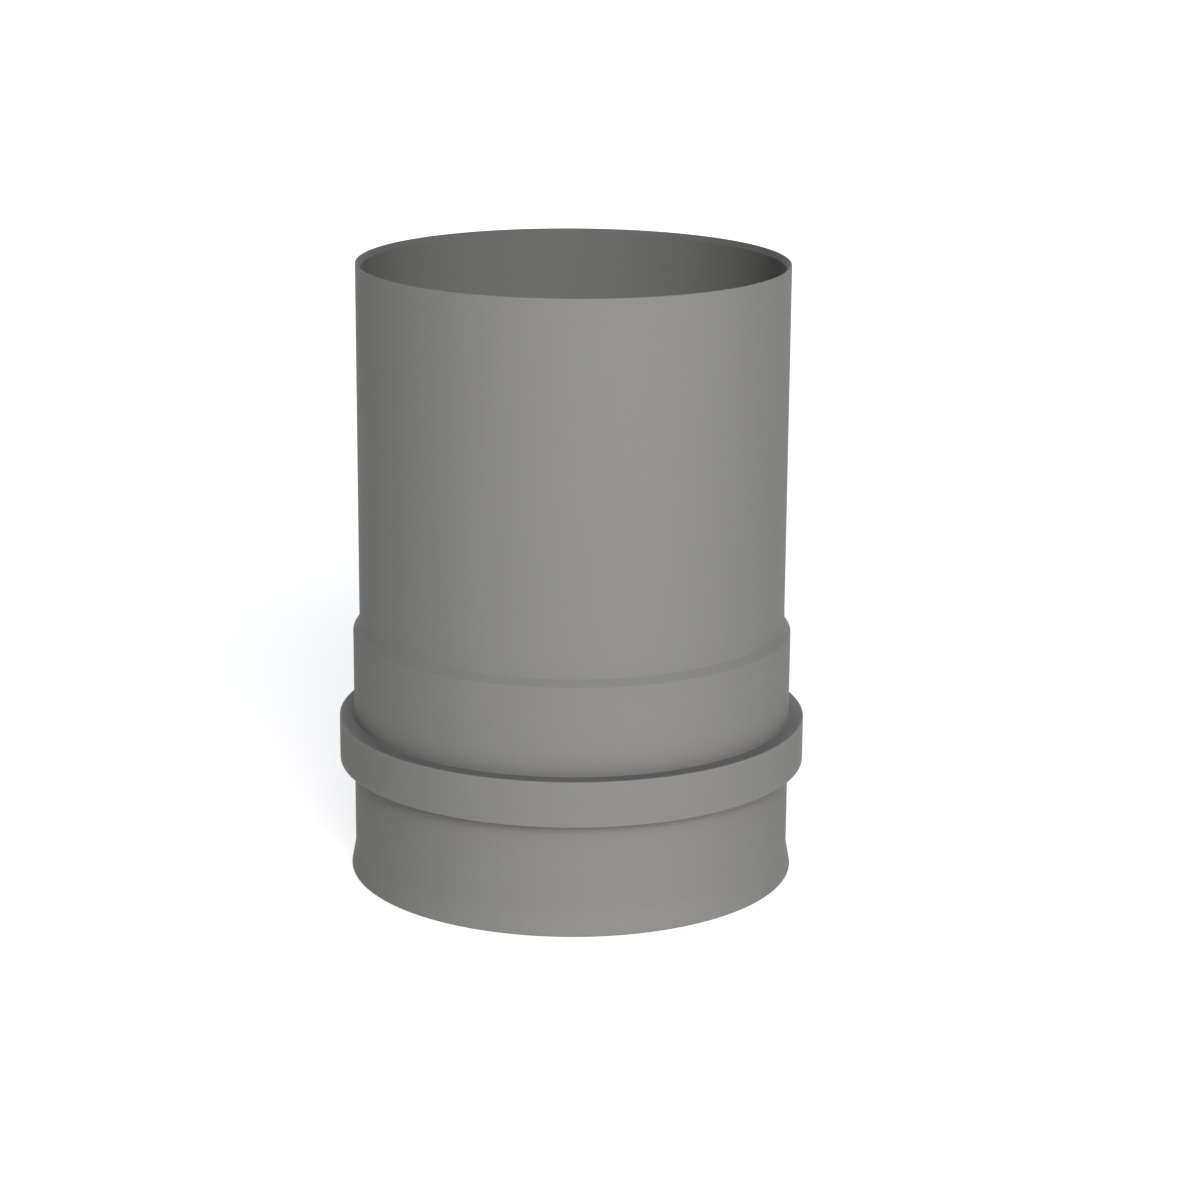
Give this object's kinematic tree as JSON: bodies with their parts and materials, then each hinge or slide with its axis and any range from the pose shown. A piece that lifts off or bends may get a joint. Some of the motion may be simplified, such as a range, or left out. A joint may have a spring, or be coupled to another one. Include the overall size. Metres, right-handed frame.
{
  "type": "pvc pipe socket",
  "caption": "Push-fit duct fitting: a plain spigot above a socket with a square bead, a hidden lip seal and a flared mouth.",
  "frame": {"origin": "centre of the mouth's end face, on which the fitting stands", "axes": "+Z runs along the pipe, from the socket's mouth up to the spigot's rim; the form is round, so X and Y are free"},
  "size_m": [0.1758, 0.1758, 0.2318],
  "materials": {
    "grey_pvc": "smooth, matte to satin, mid grey PVC-U coloured through",
    "seal_rubber": "black moulded rubber with a faint bloom"
  },
  "bodies": {
    "root": {"socket_body": "grey_pvc", "seal_ring": "seal_rubber"}
  },
  "joints": []
}
